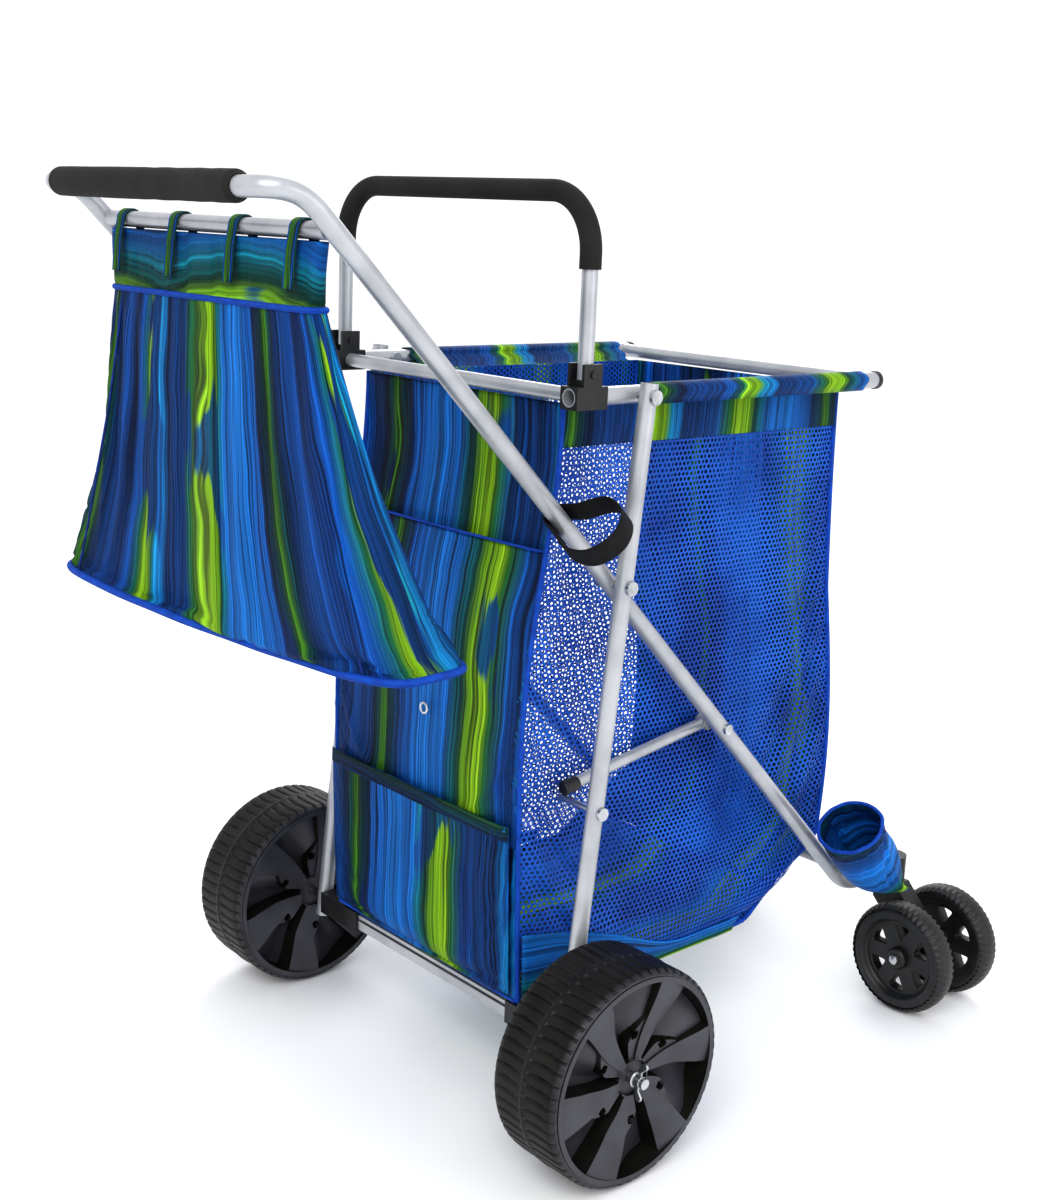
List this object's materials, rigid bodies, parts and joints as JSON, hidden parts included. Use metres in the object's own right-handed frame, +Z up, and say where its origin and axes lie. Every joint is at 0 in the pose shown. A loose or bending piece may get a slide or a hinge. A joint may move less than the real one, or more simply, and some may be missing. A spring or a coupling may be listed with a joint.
{
  "type": "beach cart",
  "caption": "Folding beach cart with wide rear wheels, twin swivel casters, a fabric bag, a hanging tote and an umbrella pocket.",
  "frame": {"origin": "on the floor under the middle of the whole cart", "axes": "+X forward, away from the push handle; +Y left; +Z up"},
  "size_m": [1.1095, 0.736, 1.0736],
  "materials": {
    "silver_tube": "satin",
    "black_plastic": "satin",
    "foam": "matte",
    "zinc": "satin",
    "print_fabric": "matte",
    "mesh_fabric": "matte"
  },
  "bodies": {
    "handle_frame": {"left_diagonal_leg": "silver_tube", "right_diagonal_leg": "silver_tube", "handle_hoop": "silver_tube", "handle_grip": "foam", "handle_crossbar": "silver_tube", "front_crossbar": "silver_tube", "left_caster_socket": "black_plastic", "right_caster_socket": "black_plastic", "left_pivot_bolts": "zinc", "right_pivot_bolts": "zinc", "tote_bag": "print_fabric", "tote_straps": "print_fabric", "umbrella_pocket": "print_fabric", "bag_rear_panel": "print_fabric", "bag_rear_pocket": "print_fabric", "bag_left_side": "mesh_fabric", "bag_right_side": "mesh_fabric", "bag_front_panel": "print_fabric", "bag_bottom": "print_fabric"},
    "wheel_frame": {"left_wheel_leg": "silver_tube", "left_link_pin": "zinc", "left_rail_bolt": "zinc", "left_axle_block": "black_plastic", "left_wing_nut": "zinc", "right_wheel_leg": "silver_tube", "right_link_pin": "zinc", "right_rail_bolt": "zinc", "right_axle_block": "black_plastic", "right_wing_nut": "zinc", "axle_tube": "silver_tube", "axle_rod": "zinc"},
    "left_rear_wheel": {"left_wheel": "black_plastic"},
    "right_rear_wheel": {"right_wheel": "black_plastic"},
    "bag_rails": {"left_bag_rail": "silver_tube", "right_bag_rail": "silver_tube", "rail_rear_bar": "silver_tube", "rail_front_bar": "silver_tube", "left_hoop_joint": "black_plastic", "right_hoop_joint": "black_plastic", "left_rail_cap": "black_plastic", "right_rail_cap": "black_plastic"},
    "front_hoop_body": {"front_hoop": "silver_tube", "front_hoop_grip": "foam"},
    "left_link": {"left_side_link": "silver_tube", "left_link_cap": "black_plastic"},
    "left_caster": {"left_caster_yoke": "black_plastic"},
    "left_caster_rear": {"left_caster_rear_wheel": "black_plastic"},
    "left_caster_front": {"left_caster_front_wheel": "black_plastic"},
    "right_link": {"right_side_link": "silver_tube", "right_link_cap": "black_plastic"},
    "right_caster": {"right_caster_yoke": "black_plastic"},
    "right_caster_rear": {"right_caster_rear_wheel": "black_plastic"},
    "right_caster_front": {"right_caster_front_wheel": "black_plastic"}
  },
  "joints": [
    {"name": "frame_fold", "type": "hinge", "parent": "handle_frame", "child": "wheel_frame", "pos_m": [-0.09875, 0, 0.648], "axis": [0, -1, 0], "range_deg": [0, 44], "deforming": ["bag_rear_panel", "bag_rear_pocket", "bag_left_side", "bag_right_side", "bag_front_panel", "bag_bottom", "umbrella_pocket"]},
    {"name": "rail_fold", "type": "hinge", "parent": "wheel_frame", "child": "bag_rails", "pos_m": [-0.0777, 0, 0.853], "axis": [0, -1, 0], "range_deg": [-88, 0]},
    {"name": "hoop_fold", "type": "hinge", "parent": "bag_rails", "child": "front_hoop_body", "pos_m": [-0.14875, 0, 0.877], "axis": [0, 1, 0], "range_deg": [0, 80]},
    {"name": "left_wheel_spin", "type": "hinge", "parent": "wheel_frame", "child": "left_rear_wheel", "pos_m": [-0.15175, 0.308, 0.127], "axis": [0, 1, 0], "continuous": true},
    {"name": "left_link_fold", "type": "hinge", "parent": "handle_frame", "child": "left_link", "pos_m": [0.10425, 0.19, 0.445], "axis": [0, -1, 0], "range_deg": [-57.2, 0]},
    {"name": "left_caster_swivel", "type": "hinge", "parent": "handle_frame", "child": "left_caster", "pos_m": [0.48425, 0.217, 0.15], "axis": [0, 0, 1], "continuous": true},
    {"name": "left_caster_rear_spin", "type": "hinge", "parent": "left_caster", "child": "left_caster_rear", "pos_m": [0.43475, 0.152, 0.076], "axis": [1, 0, 0], "continuous": true},
    {"name": "left_caster_front_spin", "type": "hinge", "parent": "left_caster", "child": "left_caster_front", "pos_m": [0.53375, 0.152, 0.076], "axis": [1, 0, 0], "continuous": true},
    {"name": "right_wheel_spin", "type": "hinge", "parent": "wheel_frame", "child": "right_rear_wheel", "pos_m": [-0.15175, -0.308, 0.127], "axis": [0, 1, 0], "continuous": true},
    {"name": "right_link_fold", "type": "hinge", "parent": "handle_frame", "child": "right_link", "pos_m": [0.10425, -0.19, 0.445], "axis": [0, -1, 0], "range_deg": [-57.2, 0]},
    {"name": "right_caster_swivel", "type": "hinge", "parent": "handle_frame", "child": "right_caster", "pos_m": [0.48425, -0.217, 0.15], "axis": [0, 0, 1], "continuous": true},
    {"name": "right_caster_rear_spin", "type": "hinge", "parent": "right_caster", "child": "right_caster_rear", "pos_m": [0.43475, -0.282, 0.076], "axis": [1, 0, 0], "continuous": true},
    {"name": "right_caster_front_spin", "type": "hinge", "parent": "right_caster", "child": "right_caster_front", "pos_m": [0.53375, -0.282, 0.076], "axis": [1, 0, 0], "continuous": true}
  ],
  "couplings": [
    {"joint": "rail_fold", "follows": "frame_fold", "ratio": -2},
    {"joint": "left_link_fold", "follows": "frame_fold", "ratio": -1.3},
    {"joint": "right_link_fold", "follows": "frame_fold", "ratio": -1.3}
  ]
}
